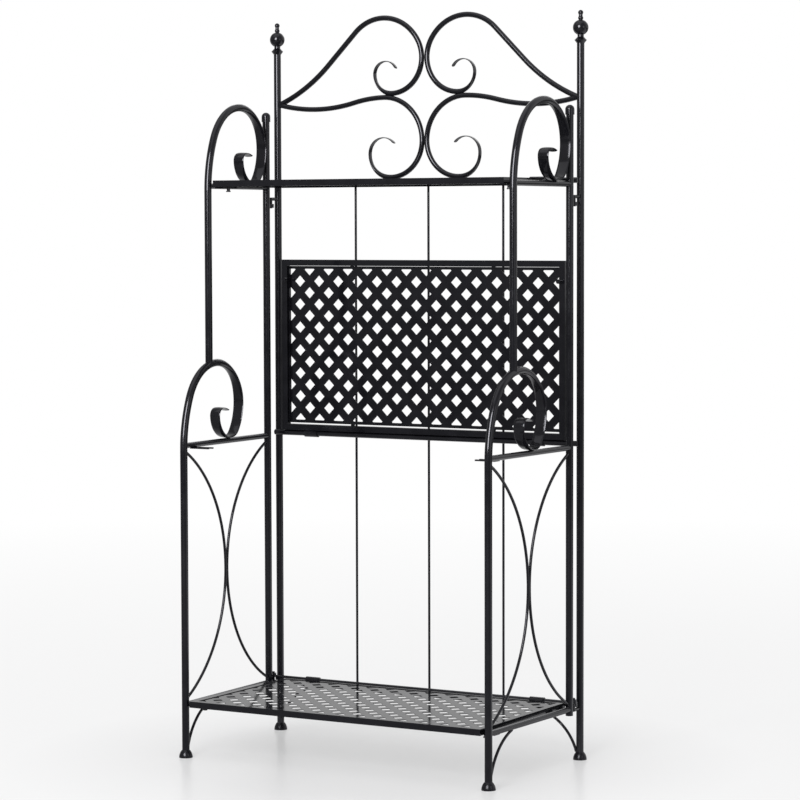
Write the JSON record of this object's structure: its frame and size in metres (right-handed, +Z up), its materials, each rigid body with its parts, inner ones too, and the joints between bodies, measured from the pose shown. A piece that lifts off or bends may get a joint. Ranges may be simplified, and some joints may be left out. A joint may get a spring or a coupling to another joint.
{
  "type": "tiered plant stand",
  "caption": "Tall folding metal plant stand with scrolled crest, arched side panels and fold-up lattice shelves.",
  "frame": {"origin": "centre of the footprint on the floor", "axes": "+X to the right seen from the front, +Y to the back, +Z up"},
  "size_m": [0.647, 0.3474, 1.3088],
  "materials": {
    "steel": "glossy black powder coat",
    "feet": "glossy black"
  },
  "bodies": {
    "back_frame": {"bottom_back_bar": "steel", "centre_upright": "steel", "left_back_brace": "steel", "left_back_foot": "feet", "left_back_post": "steel", "left_finial": "steel", "left_hinge_pins": "steel", "left_lower_crest": "steel", "left_upper_crest": "steel", "left_upright": "steel", "middle_back_bar": "steel", "right_back_brace": "steel", "right_back_foot": "feet", "right_back_post": "steel", "right_finial": "steel", "right_hinge_pins": "steel", "right_lower_crest": "steel", "right_upper_crest": "steel", "right_upright": "steel", "top_back_bar": "steel"},
    "left_panel": {"left_bottom_side_bar": "steel", "left_front_bow": "steel", "left_front_brace": "steel", "left_front_foot": "feet", "left_hinge_eyes": "steel", "left_lower_arch": "steel", "left_middle_side_bar": "steel", "left_post_cap": "steel", "left_rear_bow": "steel", "left_rear_post": "steel", "left_shelf_tabs": "steel", "left_top_side_bar": "steel", "left_upper_arch": "steel"},
    "right_panel": {"right_bottom_side_bar": "steel", "right_front_bow": "steel", "right_front_brace": "steel", "right_front_foot": "feet", "right_hinge_eyes": "steel", "right_lower_arch": "steel", "right_middle_side_bar": "steel", "right_post_cap": "steel", "right_rear_bow": "steel", "right_rear_post": "steel", "right_shelf_tabs": "steel", "right_top_side_bar": "steel", "right_upper_arch": "steel"},
    "bottom_shelf": {"bottom_hinge_straps": "steel", "bottom_shelf_frame": "steel", "bottom_shelf_pegs": "steel", "bottom_shelf_sheet": "steel"},
    "middle_shelf": {"middle_hinge_straps": "steel", "middle_shelf_frame": "steel", "middle_shelf_pegs": "steel", "middle_shelf_sheet": "steel"},
    "top_shelf": {"top_hinge_straps": "steel", "top_shelf_frame": "steel", "top_shelf_pegs": "steel", "top_shelf_sheet": "steel"}
  },
  "joints": [
    {"name": "left_panel_swing", "type": "hinge", "parent": "back_frame", "child": "left_panel", "pos_m": [-0.31, 0.136, 0.5], "axis": [0, 0, -1], "range_deg": [0, 90]},
    {"name": "right_panel_swing", "type": "hinge", "parent": "back_frame", "child": "right_panel", "pos_m": [0.31, 0.136, 0.5], "axis": [0, 0, 1], "range_deg": [0, 90]},
    {"name": "bottom_shelf_fold", "type": "hinge", "parent": "back_frame", "child": "bottom_shelf", "pos_m": [0, 0.1497, 0.0985], "axis": [-1, 0, 0], "range_deg": [0, 90]},
    {"name": "middle_shelf_fold", "type": "hinge", "parent": "back_frame", "child": "middle_shelf", "pos_m": [0, 0.1497, 0.5545], "axis": [1, 0, 0], "range_deg": [0, 90]},
    {"name": "top_shelf_fold", "type": "hinge", "parent": "back_frame", "child": "top_shelf", "pos_m": [0, 0.1497, 1.0105], "axis": [-1, 0, 0], "range_deg": [0, 90]}
  ]
}
